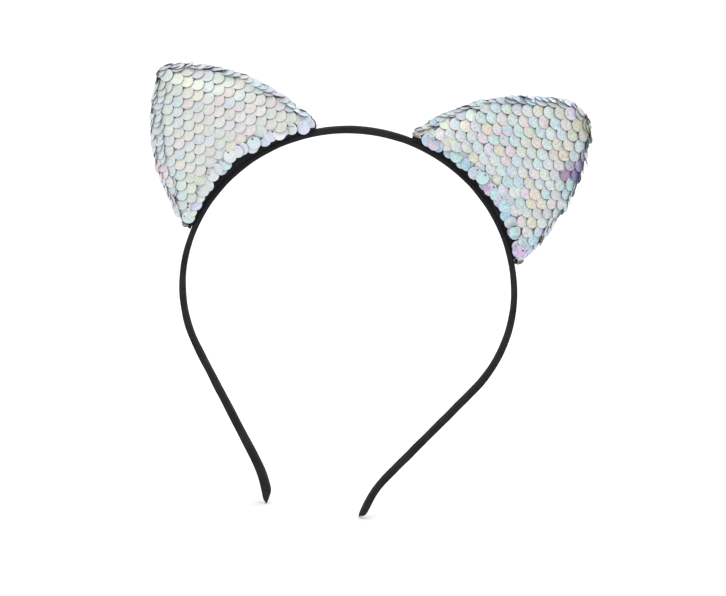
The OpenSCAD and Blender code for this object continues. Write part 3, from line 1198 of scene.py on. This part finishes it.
    def look_up(self, table: Array, col: Array, row: Array) -> Array:
        """Reads a table between its columns and rows, in straight shares.

        Args:
            table: values by row and column.
            col: columns, in parts of a column too.
            row: rows, in parts of a row too.

        Returns:
            The values between.
        """
        c = np.clip(np.floor(col).astype(int), 0, self.cols - 1)
        r = np.clip(np.floor(row).astype(int), 0, table.shape[1] - 2)
        u, v = (col - c)[:, None], (row - r)[:, None]
        return ((1 - u) * ((1 - v) * table[c, r] + v * table[c, r + 1])
                + u * ((1 - v) * table[c + 1, r] + v * table[c + 1, r + 1]))

    def spot(self, col: Array, row: Array) -> tuple[Array, Array]:
        """Points on the filled surface and the outward directions there."""
        return self.look_up(self.surface, col, row), unit(self.look_up(self.normals, col, row))

    def lay(self, flat: Array, face: Face) -> tuple[Array, Array, Array, Array]:
        """Lays places on the flat net onto the filled surface.

        A place keeps its direction from the middle, and its distance from the middle becomes the
        length along the surface.

        Args:
            flat: x and z from the middle of the net.
            face: Which net.

        Returns:
            Points, outward directions, columns, and rows (past the last where it runs off).
        """
        turn = self.turns[0] + np.mod(np.arctan2(flat[:, 1], flat[:, 0]) - self.turns[0], 2 * np.pi)
        col = np.interp(turn, self.turns, np.arange(self.cols + 1))
        c = np.clip(np.floor(col).astype(int), 0, self.cols - 1)
        u = (col - c)[:, None]
        table = self.front_len if face is Face.FRONT else self.back_len[:, ::-1]
        lengths = (1 - u) * table[c] + u * table[c + 1]
        far = np.hypot(flat[:, 0], flat[:, 1])
        k = np.clip((lengths <= far[:, None]).sum(axis=1) - 1, 0, lengths.shape[1] - 2)
        near, after = (np.take_along_axis(lengths, i[:, None], 1)[:, 0] for i in (k, k + 1))
        row = k + np.clip((far - near) / np.maximum(after - near, 1e-9), 0, 1)
        if face is Face.BACK:
            row = self.surface.shape[1] - 1 - row
        return *self.spot(col, row), col, row

    def world(self, points: Array) -> Array:
        """Turns the ear's own directions into the frame's: a turn about Y, mirrored on the left.

        Args:
            points: points in the ear's own directions.

        Returns:
            The same points in the frame.
        """
        a = math.radians(self.at_deg)
        x, y, z = points[..., 0], points[..., 1], points[..., 2]
        return np.stack([self.side.sign * (x * math.cos(a) + z * math.sin(a)), y,
                         z * math.cos(a) - x * math.sin(a)], axis=-1)

    def placed(self, skin: Skin) -> Skin:
        """Moves a skin from the ear's own directions to its place on the band."""
        moved = Skin(self.world(skin.points), skin.faces, skin.uv, skin.values)
        return moved.turned() if self.side is Side.LEFT else moved

    # -- pieces

    def nets(self, face: Face) -> Skin:
        """One net: a thin closed shell 0.15 to 0.45 mm over the padding, up to the seam.

        Args:
            face: Which net.

        Returns:
            The skin, whose cloth places are the outer shell's x and z, for both shells.
        """
        cols = np.arange(self.cols, dtype=float)
        seam = self.seam_row(cols)
        last = self.surface.shape[1] - 1.0
        share = np.linspace(0, 1, self.rings + 1)[1:]
        rows = (share[None, :] * seam[:, None] if face is Face.FRONT
                else last - share[None, :] * (last - seam)[:, None])
        col = np.repeat(cols, len(share))
        point, out = self.spot(col, rows.ravel())
        middle = 0 if face is Face.FRONT else -1
        pole, pole_out = self.surface[0, middle], self.normals[0, middle]
        shells, count = [], len(share)
        for lift in (0.45, 0.15):
            grid = (point + lift * out).reshape(self.cols, count, 3).transpose(1, 0, 2).reshape(-1, 3)
            shells.append(np.concatenate([grid, (pole + lift * pole_out)[None]]))
        size = len(shells[0])
        ring = np.arange(self.cols)
        after = (ring + 1) % self.cols
        quads = grid_quads(count, self.cols)
        cap = np.stack([np.full(self.cols, size - 1), after, ring], axis=-1)
        edge = (count - 1) * self.cols
        wall = np.stack([edge + after, edge + ring, size + edge + ring, size + edge + after], axis=-1)
        faces = [quads[:, ::-1], cap[:, ::-1], quads + size, cap + size, wall]
        cloth = np.concatenate([shells[0][:, [0, 2]], shells[0][:, [0, 2]]])
        skin = Skin(np.concatenate(shells), faces, cloth)
        return skin if face is Face.FRONT else skin.turned()

    def palette(self, point: Array, rng: np.random.Generator) -> Array:
        """Picks each disc's tint: a random pale tint, then any stain that reaches it.

        Args:
            point: Place of each disc on the surface.
            rng: Seeded random numbers.

        Returns:
            Linear red, green and blue for each disc.
        """
        shades = np.array([linear(c)[:3] for c in self.tints])
        count = len(point)
        pick, other = (rng.integers(0, len(shades), count) for _ in range(2))
        mix = rng.uniform(0, 0.5, (count, 1))
        tint = shades[pick] * (1 - mix) + shades[other] * mix
        tint *= rng.uniform(0.93, 1.02, (count, 1))
        for stain in self.stains:
            far = np.hypot(point[:, 0] - stain.x, point[:, 2] - self.centre_z - stain.z) / stain.reach
            share = stain.strength * (1 - smooth(far))[:, None] * rng.uniform(0.5, 1.0, (count, 1))
            tint = tint * (1 - share) + np.array(linear(stain.colour)[:3]) * share
        return np.clip(tint, 0, 1)

    def scatter(self, shape: tuple[Array, list[Array], Array], point: Array, out: Array, free: Array,
                tilt: Array, roll: Array, lift: Array, tint: Array, size: Array) -> Skin:
        """Sets one disc at each place.

        The disc's free direction is laid on the surface, then raised by the tilt, and the disc is
        rolled about that direction.

        Args:
            shape: The disc's points, faces and edge values.
            point: Places on the surface.
            out: Outward directions there.
            free: Wanted free directions.
            tilt: How much each free edge stands up, in degrees.
            roll: How much each disc is rolled, in degrees.
            lift: Height of each disc's middle over the surface.
            tint: Linear colour of each disc.
            size: Share of full size of each disc.

        Returns:
            All the discs as one skin.
        """
        spots, faces, edge = shape
        flat = unit(free - (free * out).sum(-1, keepdims=True) * out)
        t, r = np.radians(tilt)[:, None], np.radians(roll)[:, None]
        ahead = flat * np.cos(t) + out * np.sin(t)
        top = out * np.cos(t) - flat * np.sin(t)
        beside = np.cross(top, ahead)
        beside, top = beside * np.cos(r) + top * np.sin(r), top * np.cos(r) - beside * np.sin(r)
        axes = np.stack([ahead, beside, top], axis=1) * size[:, None, None]
        points = np.einsum("vk,nkx->nvx", spots, axes) + (point + lift[:, None] * out)[:, None, :]
        count = len(spots)
        starts = (np.arange(len(point)) * count)[:, None, None]
        every = [(f[None] + starts).reshape(-1, f.shape[1]) for f in faces]
        film = np.concatenate([np.repeat(tint, count, axis=0), np.tile(edge, len(point))[:, None]], axis=1)
        return Skin(points.reshape(-1, 3), every, None, {"film": film})

    @staticmethod
    def clearance(tilt: Array, flat_deg: float, most_deg: float, arm: float) -> Array:
        """How far a disc must rise for its sewn edge to clear the net when it tilts past flat_deg."""
        return arm * np.sin(np.radians(np.clip(tilt - flat_deg, 0, most_deg)))

    def rows_of_discs(self, face: Face, rng: np.random.Generator) -> Skin:
        """The sewn rows: a lattice on the flat net, every second row moved by half a pitch.

        Args:
            face: Which net.
            rng: Seeded random numbers.

        Returns:
            The discs that lie inside the seam.
        """
        n = np.arange(-30, 31)
        i, j = (v.ravel() for v in np.meshgrid(n, n))
        a = math.radians(self.row_turn)
        x = (i + 0.5 * (j % 2)) * self.pitch
        z = j * self.row_gap
        flat = np.stack([x * math.cos(a) - z * math.sin(a), x * math.sin(a) + z * math.cos(a)], axis=-1)
        flat = flat[np.hypot(*flat.T) < self.width]
        flat += rng.normal(0, 0.08 + 0.16 * self.disorder, flat.shape)
        point, out, col, row = self.lay(flat, face)
        depth = self.depth(col, row, face)
        at_base = self.at_base(col)
        edge_room = 1.5
        keep = depth > edge_room + (2.0 + 2.0 * self.hem_rise(col)) * at_base
        point, out, depth, at_base = point[keep], out[keep], depth[keep], at_base[keep]
        count = len(point)
        near = np.clip(1 - (depth - edge_room) / 4.0, 0, 1) * (1 - 0.4 * at_base)
        wild = np.clip(self.disorder + 0.8 * near**2, 0, 1.5)
        free = np.tile([math.sin(a), 0.0, -math.cos(a)], (count, 1))
        free[:, 0] += rng.normal(0, 0.06, count) + wild * rng.normal(0, 0.2, count)
        flat_deg = 8.0
        tilt = flat_deg + rng.normal(0, 1.3, count) + wild * np.abs(rng.normal(0, 4.5, count))
        roll = rng.normal(0, 1.2, count) + wild * rng.normal(0, 4.5, count)
        lift = 0.65 + self.clearance(tilt, flat_deg, 40, 1.5)
        tint = self.palette(point, rng)
        return self.scatter(Disc().plain(), point, out, free, tilt, roll, lift, tint,
                            rng.uniform(0.98, 1.02, count))

    def at_base(self, col: Array) -> Array:
        """Whether each column ends at the base: 1 there and 0 up the sides."""
        base = (self.edge_half(self.outline()) > 1.2).astype(float)
        return np.interp(col, np.arange(self.cols + 1), np.append(base, base[0]))

    def hem_rise(self, col: Array) -> Array:
        """How much the hem stands clear of the base: 0 at a corner, 1 from seven columns in."""
        base = np.flatnonzero(self.at_base(np.arange(self.cols)) > 0.5)
        return smooth(np.minimum(col - base.min(), base.max() - col) / 7.0)

    def depth(self, col: Array, row: Array, face: Face) -> Array:
        """How far each place is inside the seam, along the surface."""
        table = (self.front_len if face is Face.FRONT else self.back_len)[..., None]
        return (self.look_up(table, col, self.seam_row(col)) - self.look_up(table, col, row))[:, 0]

    def inset(self, col: Array, deep: Array, face: Face) -> tuple[Array, Array]:
        """Finds the places that are so deep inside the seam.

        Args:
            col: Columns.
            deep: Wanted depths along the surface.
            face: Which net.

        Returns:
            Points on the surface and outward directions.
        """
        last = self.surface.shape[1] - 1.0
        seam = self.seam_row(col)
        share = np.linspace(0, 1, 160)
        rows = seam - share[:, None] * seam if face is Face.FRONT else seam + share[:, None] * (last - seam)
        depths = np.stack([self.depth(col, r, face) for r in rows])
        pick = np.argmax(depths >= deep, axis=0)
        row = rows[pick, np.arange(len(col))]
        return self.spot(col, row)

    def edge_discs(self, face: Face, rng: np.random.Generator) -> Skin:
        """The loose discs beside the seam, which stand up and turn any way.

        They follow the seam up both sides and over the point, 2.6 mm apart.

        Args:
            face: Which net.
            rng: Seeded random numbers.

        Returns:
            The discs.
        """
        sides = np.flatnonzero(self.at_base(np.arange(self.cols)) < 0.5)
        first, last = float(sides.min()), float(sides.max())
        col = np.linspace(first + 0.4, last - 0.4, round((last - first) * COLUMN_MM / 2.6))
        col = np.clip(col + rng.uniform(-0.3, 0.3, len(col)), 0, self.cols - 0.01)
        count = len(col)
        point, out = self.inset(col, rng.uniform(0.9, 1.9, count), face)
        spin = rng.normal(0, 0.45, count)
        free = np.stack([np.sin(spin), np.zeros(count), -np.cos(spin)], axis=-1)
        loose = 0.5 + self.disorder
        flat_deg = 7.0
        tilt = flat_deg + loose * np.abs(rng.normal(0, 12, count))
        roll = loose * rng.normal(0, 10, count)
        lift = 0.7 + self.clearance(tilt, flat_deg, 50, 1.4)
        tint = self.palette(point, rng)
        tint *= rng.uniform(0.94, 1.08, (count, 1))
        return self.scatter(Disc().punched(), point, out, free, tilt, roll, lift, tint,
                            rng.uniform(0.92, 1.0, count))

    def hem_discs(self, face: Face, rng: np.random.Generator) -> Skin:
        """The last discs along the base, which hang over the felt in a crooked line.

        Args:
            face: Which net.
            rng: Seeded random numbers.

        Returns:
            The discs, bluer than the rest.
        """
        base = np.flatnonzero(self.at_base(np.arange(self.cols)) > 0.5)
        first, last = float(base.min()) + 0.2, float(base.max()) - 0.2
        col = np.linspace(first, last, round((last - first) * COLUMN_MM / 2.9))
        col = np.clip(col + rng.uniform(-0.5, 0.5, len(col)), 0, self.cols - 0.01)
        count = len(col)
        deep = 3.3 + 2.6 * self.hem_rise(col) + rng.uniform(-1.1, 1.1, count)
        point, out = self.inset(col, deep, face)
        point[:, 1] = self.inset(col, deep + 2.2, face)[0][:, 1]
        out = unit(0.35 * out + [0, -1 if face is Face.FRONT else 1, 0])
        turn = np.arctan2(point[:, 0], point[:, 2])
        spin = turn + rng.normal(0, 0.35, count)
        free = np.stack([-np.sin(spin), np.zeros(count), -np.cos(spin)], axis=-1)
        flat_deg = 5.0
        tilt = flat_deg + np.abs(rng.normal(0, 10, count))
        roll = rng.normal(0, 11, count)
        lift = rng.uniform(0.8, 1.5, count) + self.clearance(tilt, flat_deg, 50, 1.4)
        tint = self.palette(point, rng)
        shades = np.array([linear(c)[:3] for c in self.hem])[rng.integers(0, len(self.hem), count)]
        share = rng.uniform(0.2, 0.9, (count, 1))
        return self.scatter(Disc().punched(), point, out, free, tilt, roll, lift,
                            tint * (1 - share) + shades * share, rng.uniform(0.95, 1.0, count))

    def thread_skin(self) -> Skin:
        """The seam's thread: a coil of 0.34 mm thread that whips round the two nets' edges.

        Its centreline follows the seam up both sides and over the point, and goes round it once
        every 3.2 mm at 0.55 mm from it.

        Returns:
            The closed tube.
        """
        line = self.outline()
        sides = np.flatnonzero(self.edge_half(line) < 1.3)
        start, end = float(sides.min()), float(sides.max())
        length = np.linalg.norm(np.diff(line, axis=0), axis=1).sum() * (end - start) / self.cols
        turns = round(length / 3.2)
        col = np.linspace(start, end, turns * 14)
        row = self.seam_row(col)
        spot, out = self.spot(col, row)
        along = unit(np.gradient(spot, axis=0))
        beside = np.cross(along, out)
        phase = 2 * np.pi * np.linspace(0, turns, len(col))[:, None]
        heart = spot + (0.35 + 0.35 * np.cos(phase)) * out + 0.55 * np.sin(phase) * beside
        return self.round_thread(heart, 0.17, 8)

    @staticmethod
    def round_thread(heart: Array, radius: float, around: int) -> Skin:
        """A round tube along a line: circles square to it, closed at both ends.

        Args:
            heart: the line of the thread's middle.
            radius: the thread's radius.
            around: points round each circle.

        Returns:
            The thread's skin.
        """
        along = unit(np.gradient(heart, axis=0))
        first = unit(np.cross(along, np.array([0.3, 1.0, 0.2])))
        second = np.cross(along, first)
        turn = 2 * np.pi * np.arange(around) / around
        rings = heart[:, None] + radius * (np.cos(turn)[None, :, None] * first[:, None]
                                           + np.sin(turn)[None, :, None] * second[:, None])
        at = np.cumsum(np.linalg.norm(np.diff(heart, axis=0, prepend=heart[:1]), axis=1))
        uv = np.stack(np.broadcast_arrays(at[:, None], (turn * radius)[None, :]), axis=-1).reshape(-1, 2)
        return closed_tube(rings, uv)

    @staticmethod
    def bar(height: Array, across: Array, turn: Array) -> Skin:
        """A closed bar that lies along the band under the ear.

        Args:
            height: Distance from the middle of the head, for each row and profile point.
            across: Y of each.
            turn: Angle of each row from the ear's middle.

        Returns:
            The skin, in the ear's own directions.
        """
        turn = turn[:, None]
        return closed_tube(np.stack([height * np.sin(turn), across, height * np.cos(turn)], axis=-1))

    def felt_skin(self) -> Skin:
        """The felt strip, 1.2 mm thick, with a cut edge that wanders.

        Its edges droop over the band's corners, and outside the padding they stand up as a lip that
        leans out along the padding's swell.

        Returns:
            The felt's skin.
        """
        reach = math.asin(self.width / 2 / self.seat_r) - math.radians(1.3)
        turn = np.linspace(-reach, reach, 170)
        arc = turn * self.seat_r
        ends = smooth((reach - np.abs(turn)) * self.seat_r / 6.0)
        hang = self.base_half * np.clip(1 - (np.sin(turn) * self.seat_r / (self.width / 2)) ** 2, 0, 1)
        half = np.maximum(3.75, hang + 1.1) * (0.93 + 0.07 * ends)
        wander = 0.16 * ripple(arc, 5, self.seed + 4)
        low = self.seat_r - 1.2 + 0.03 * ripple(arc, 4, self.seed + 6)
        high = self.seat_r + 0.04 * ripple(arc, 3, self.seed + 7) - 0.3 * (1 - ends)
        h, w = rounded_box(low, high, half, 0.35, 64)
        top = h > self.seat_r - 0.6
        lip = smooth((np.abs(w) - hang[:, None] - 0.45) / 0.5)
        droop = smooth((np.abs(w) - 2.95) / 0.6)
        rise = smooth((reach - np.abs(turn)) * self.seat_r / 14.0)
        w = w * (1 + 2.0 * rise[:, None] * lip * top / np.maximum(np.abs(w), 1.0))
        h = h + np.where(top, (1.0 * ends + 2.2 * rise)[:, None] * lip, -0.42 * droop)
        return self.bar(h, w + wander[:, None], turn)

    def glue_skin(self) -> Skin:
        """The hot glue: a flattened bead whose edges squeeze out in lumps under the felt.

        Returns:
            The glue's skin.
        """
        reach = math.asin(self.width / 2 / self.seat_r) - math.radians(2.5)
        turn = np.linspace(-reach, reach, 150)
        half = 1.5 + 0.3 * np.abs(ripple(turn * self.seat_r, 6, self.seed + 8))
        low = np.full(len(turn), self.band_outer_r + 0.02)
        h, w = rounded_box(low, low + 0.36, half, 0.15, 32)
        return self.bar(h, w, turn)

    def build(self) -> None:
        """Makes every piece of the ear and fixes it to its shoulder of the band."""
        word, body = self.side.value, f"{self.side.value}_shoulder"
        grid = self.grid()
        self.settle(self.stuff(grid))
        made = []
        pad = self.placed(self.padding_skin(self.surface[:-1])).piece(f"{word}_ear_stuffing",
                                                                     PolyesterFill().make())
        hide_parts(f"{word}_ear_padding")
        made.append(pad)
        for face in Face:
            net = self.placed(self.nets(face))
            net = net.piece(f"{word}_ear_{face.value}_net_cloth", KnittedNet().make())
            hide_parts(f"{word}_ear_{face.value}_net")
            flat = self.cloth_size(face)
            rng = np.random.default_rng(self.seed + (0 if face is Face.FRONT else 50))
            parts = (self.rows_of_discs, self.edge_discs, self.hem_discs)
            discs = joined([part(face, rng) for part in parts])
            sewn = self.placed(discs).piece(f"{word}_ear_{face.value}_sequin_rows", self.film.make())
            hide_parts(f"{word}_ear_{face.value}_sequins")
            made += [net, sewn]
        thread = self.placed(self.thread_skin()).piece(f"{word}_ear_whipped_thread", SpunThread().make())
        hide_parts(f"{word}_ear_seam_thread")
        felt = self.placed(self.felt_skin()).piece(f"{word}_ear_felt_strip", NeedleFelt().make())
        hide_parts(f"{word}_ear_felt")
        glue = self.placed(self.glue_skin()).piece(f"{word}_ear_glue_bead", HotGlue().make())
        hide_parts(f"{word}_ear_glue")
        for obj in made + [thread, felt, glue]:
            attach(obj, body)
            log.info("%s: %d points", obj.name, len(obj.data.vertices))

    def cloth_size(self, face: Face) -> tuple[float, float, float]:
        """Flat width, length and area of a net in metres.

        Each net is cut to the lengths that its threads run over the filled padding, so the flat
        outline is drawn at each column's direction and length from the middle.

        Args:
            face: front or back net.

        Returns:
            Width, length and area.
        """
        seam = self.seam_row(np.arange(self.cols, dtype=float))
        table = self.front_len if face is Face.FRONT else self.back_len
        k = np.clip(np.floor(seam).astype(int), 0, table.shape[1] - 2)
        cols = np.arange(self.cols)
        share = seam - k
        far = (table[cols, k] * (1 - share) + table[cols, k + 1] * share) * MM
        x, z = far * np.cos(self.turns[:-1]), far * np.sin(self.turns[:-1])
        area = 0.5 * abs(float((x * np.roll(z, -1) - np.roll(x, -1) * z).sum()))
        return float(np.ptp(x)), float(np.ptp(z)), area


# ---------------------------------------------------------------- surroundings


@dataclass(frozen=True)
class Studio:
    """A plain pale floor, soft light all round and the camera.

    The camera stands 0.9 m from the middle of the head, a little to the left and above, and it is
    rolled so that the headband leans to the right.
    """

    distance: float = 0.9
    above_deg: float = 12.0
    aside_deg: float = -1.0
    roll_deg: float = 8.92
    lens_mm: float = 115.14
    shift: tuple[float, float] = (0.02135, -0.00365)

    def floor(self) -> None:
        """Lays the floor just under the tips."""
        low = min(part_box(f"{side.value}_end_fold")[0].z for side in Side) - 0.0002
        n = 40
        t = np.linspace(-1, 1, n)
        x, y = np.meshgrid(t * 9000, t * 9000)
        points = np.stack([x.ravel(), y.ravel(), np.full(n * n, low / MM)], axis=-1)
        card = Skin(points, [grid_quads(n, n, wrap=False)]).piece("pale_floor", PaleFloor().make())

    @staticmethod
    def hang(name: str, data: bpy.types.ID, back: Array, at: Array, roll: float = 0.0) -> bpy.types.Object:
        """Puts a lamp or a camera at a place, looking away from its back and rolled by an angle.

        Args:
            name: name of the object.
            data: the lamp's or camera's data.
            back: direction it looks away from.
            at: its place.
            roll: turn about its own view, in radians.

        Returns:
            The object.
        """
        side = unit(np.cross([0.0, 0.0, 1.0], back))
        up = np.cross(back, side)
        side, up = side * math.cos(roll) + up * math.sin(roll), up * math.cos(roll) - side * math.sin(roll)
        obj = bpy.data.objects.new(name, data)
        obj.matrix_world = Matrix([[side[i], up[i], back[i], at[i]] for i in range(3)] + [[0, 0, 0, 1]])
        bpy.context.scene.collection.objects.link(obj)
        return obj

    def lamp(self, name: str, place: tuple[float, float, float], size: float, power: float) -> None:
        """Hangs one square soft light that points at the middle of the ears.

        Args:
            name: name of the lamp.
            place: its place.
            size: side of the square.
            power: power in watts.
        """
        data = bpy.data.lights.new(name, "AREA")
        data.shape, data.size, data.energy = "SQUARE", size, power
        at = np.array(place)
        self.hang(name, data, unit(at - np.array([0.0, 0.0, 0.03])), at)

    def sky(self) -> None:
        """An even white surround."""
        world = bpy.data.worlds.new("white_surround")
        bpy.context.scene.world = world
        world.use_nodes = True
        background = world.node_tree.nodes["Background"]
        background.inputs["Color"].default_value = linear("#ffffff")
        background.inputs["Strength"].default_value = 1.08

    def camera(self) -> None:
        """Sets up the camera from its angles."""
        p, a, r = (math.radians(v) for v in (self.above_deg, self.aside_deg, self.roll_deg))
        back = np.array([math.sin(a) * math.cos(p), -math.cos(a) * math.cos(p), math.sin(p)])
        data = bpy.data.cameras.new("camera")
        data.lens, data.sensor_width = self.lens_mm, 36.0
        data.shift_x, data.shift_y = self.shift
        data.clip_end = 60.0
        bpy.context.scene.camera = self.hang("camera", data, back, back * self.distance, r)

    def build(self) -> None:
        """Sets up everything around the headband."""
        self.camera()
        self.floor()
        self.sky()
        self.lamp("high_front_light", place=(-0.45, -0.9, 1.15), size=0.7, power=5.0)
        self.lamp("high_back_light", place=(0.5, 0.9, 1.0), size=0.5, power=4.0)
        bpy.context.scene.view_settings.view_transform = "Standard"
        log.info("camera, floor and lights are in place")


def main() -> None:
    """Builds the studio, the band and the two ears."""
    logging.basicConfig(level=logging.INFO, format="%(message)s")
    Studio().build()
    path = BandPath(bend_at=math.atan2(*joint_place("right_leg_flex")))
    Ribbon(path).build()
    SteelStrip().dress()
    Ear(side=Side.LEFT, at_deg=47.3355, width=65.0, height=48.5, tip_r=2.8, lean=0.0, pitch=4.9,
        row_gap=3.2, row_turn=0.0, disorder=0.12, seam_share=0.72, puff=0.93, seed=101,
        tints=("#d0d5d6", "#ccd1d2", "#d4d4d0", "#c5d1d8", "#cbccd6", "#d2cbd1", "#cad2cf", "#c4ced8"),
        stains=(Tint(27, 0, 6, "#eaa9bd", 0.8),), hem=("#bfdcec", "#c6d0ee", "#dbe6ec"),
        film=PearlFilm()).build()
    Ear(side=Side.RIGHT, at_deg=41.3366, width=66.0, height=50.0, tip_r=12.5, lean=3.0, pitch=4.75,
        row_gap=3.3, row_turn=-9.0, disorder=0.4, seam_share=1.0, puff=1.0, seed=211,
        tints=("#c8d7db", "#bfd6de", "#c9cbde", "#cfdad6", "#d4ced6", "#d6d1c6", "#bcd4de", "#ced6db"),
        stains=(Tint(17, 14.5, 8, "#5b3c8e", 0.95), Tint(15, 10, 4, "#a2487f", 0.85),
                Tint(7, 26, 9, "#c2ab62", 0.7)),
        hem=("#aea3d6", "#b0dbe8", "#c4b0da", "#9dc0e2"),
        film=PearlFilm(name="glittering_pearl_film", cloud_mm=1.1, cloud_share=0.85, painted_sparkle_share=0.5)).build()


if __name__ == "__main__":
    main()
